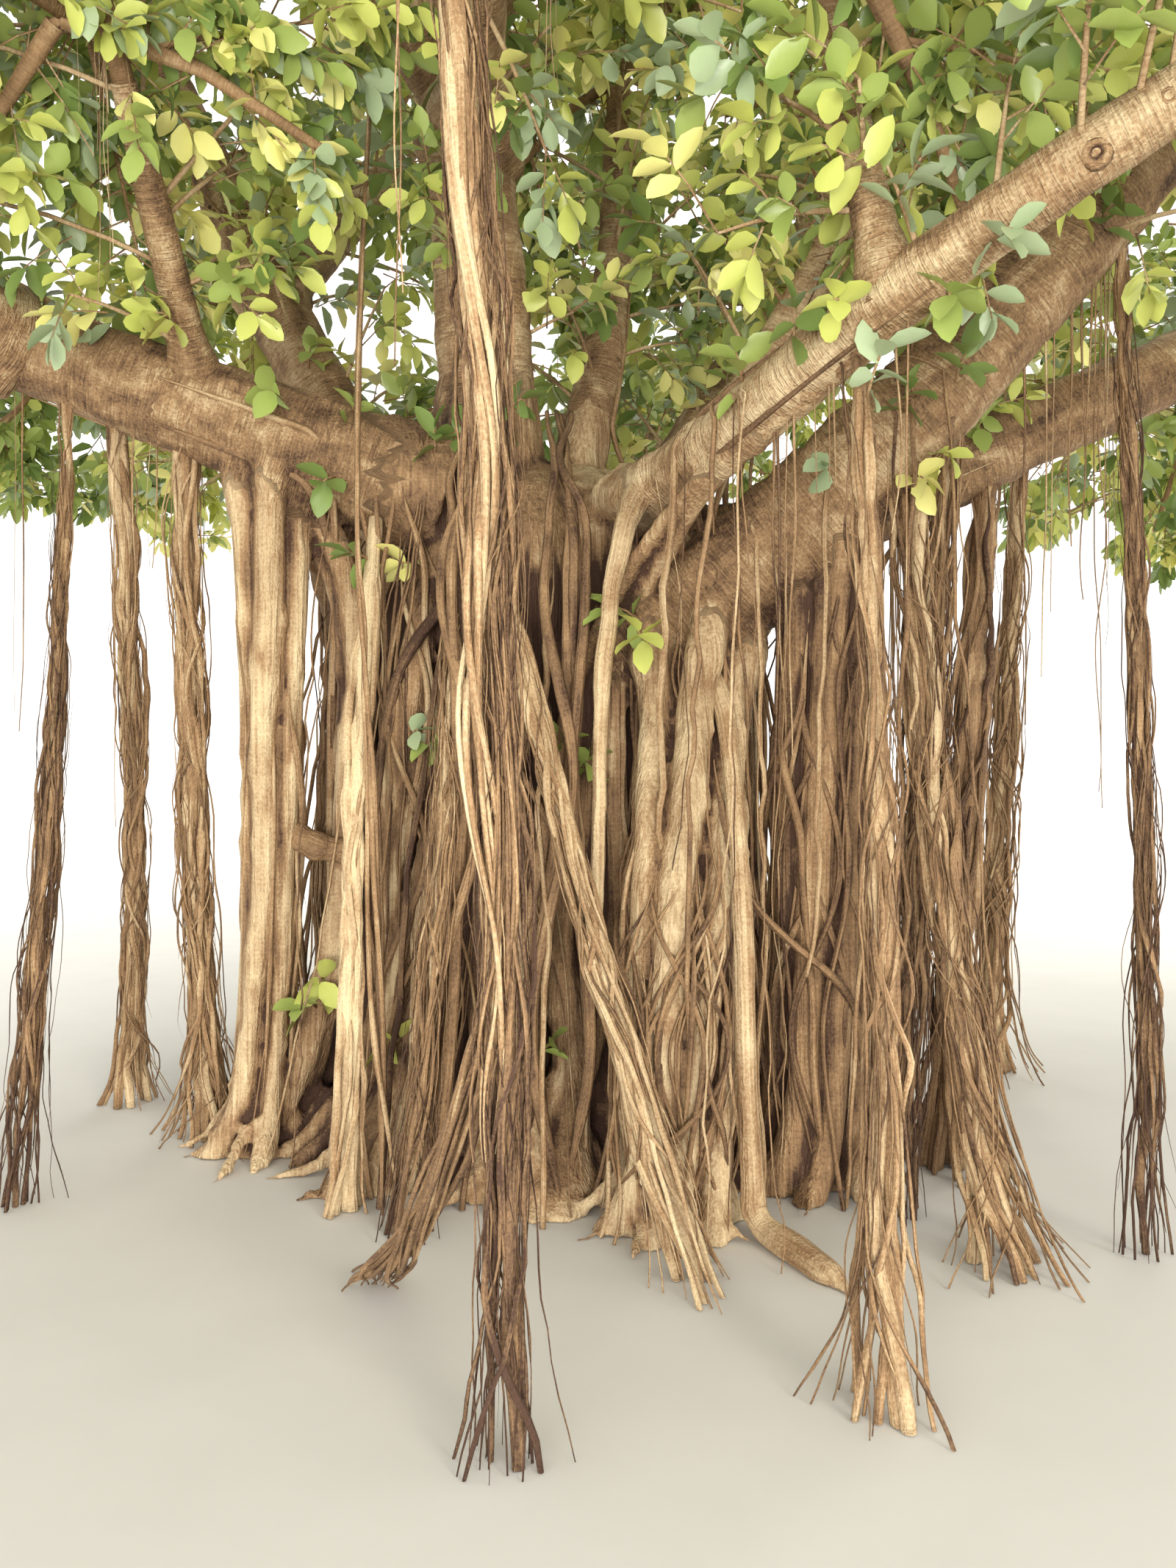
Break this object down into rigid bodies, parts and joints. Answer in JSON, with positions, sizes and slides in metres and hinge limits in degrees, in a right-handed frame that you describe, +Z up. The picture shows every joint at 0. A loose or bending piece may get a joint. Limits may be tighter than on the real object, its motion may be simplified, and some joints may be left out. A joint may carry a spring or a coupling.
{
  "type": "moreton bay fig tree",
  "caption": "Whole broad-crowned fig tree with a fluted trunk of fused aerial roots, prop and hanging roots under spreading boughs, and separate masses of foliage.",
  "frame": {"origin": "in the flat cut under the trunk, at ground level, near the trunk's middle", "axes": "+Z up; -Y towards the side with the leaning and hanging roots in front; +X to the right seen from that side"},
  "size_m": [15.4006, 14.5652, 10.4286],
  "materials": {
    "bark": "rough ringed bark",
    "root": "matte fibrous bark",
    "foliage": "satin leaves"
  },
  "bodies": {
    "root": {"trunk": "bark", "bough_right_main": "bark", "bough_left": "bark", "bough_leader": "bark", "bough_left_back": "bark", "bough_right_back": "bark", "bough_back": "bark", "bough_back_left": "bark", "bough_right_low": "bark", "bough_right_front": "bark", "bough_back_right": "bark", "bough_upright": "bark", "bough_inner_back": "bark", "bough_front": "bark", "bough_front_high": "bark", "bough_left_high": "bark", "bough_top_right": "bark", "bough_back_high": "bark", "bough_front_left": "bark", "bough_left_inner": "bark", "bough_front_inner": "bark", "column_left": "root", "column_front_right": "root", "column_right": "root", "column_back": "root", "pillar_left_near": "root", "pillar_left_far": "root", "pillar_front_left": "root", "pillar_right_front": "root", "pillar_right_lean": "root", "pillar_right_back": "root", "pillar_back_left": "root", "pillar_back_right": "root", "diagonal_front": "root", "curtain_right": "root", "hanging_front": "root", "hanging_left": "root", "hanging_centre": "root", "hanging_right": "root", "hanging_back": "root", "foliage_right_main": "foliage", "foliage_left": "foliage", "foliage_leader": "foliage", "foliage_left_back": "foliage", "foliage_right_back": "foliage", "foliage_back": "foliage", "foliage_back_left": "foliage", "foliage_right_low": "foliage", "foliage_right_front": "foliage", "foliage_back_right": "foliage", "foliage_upright": "foliage", "foliage_inner_back": "foliage", "foliage_front": "foliage", "foliage_front_high": "foliage", "foliage_left_high": "foliage", "foliage_top_right": "foliage", "foliage_back_high": "foliage", "foliage_front_left": "foliage", "foliage_left_inner": "foliage", "foliage_front_inner": "foliage"}
  },
  "joints": []
}
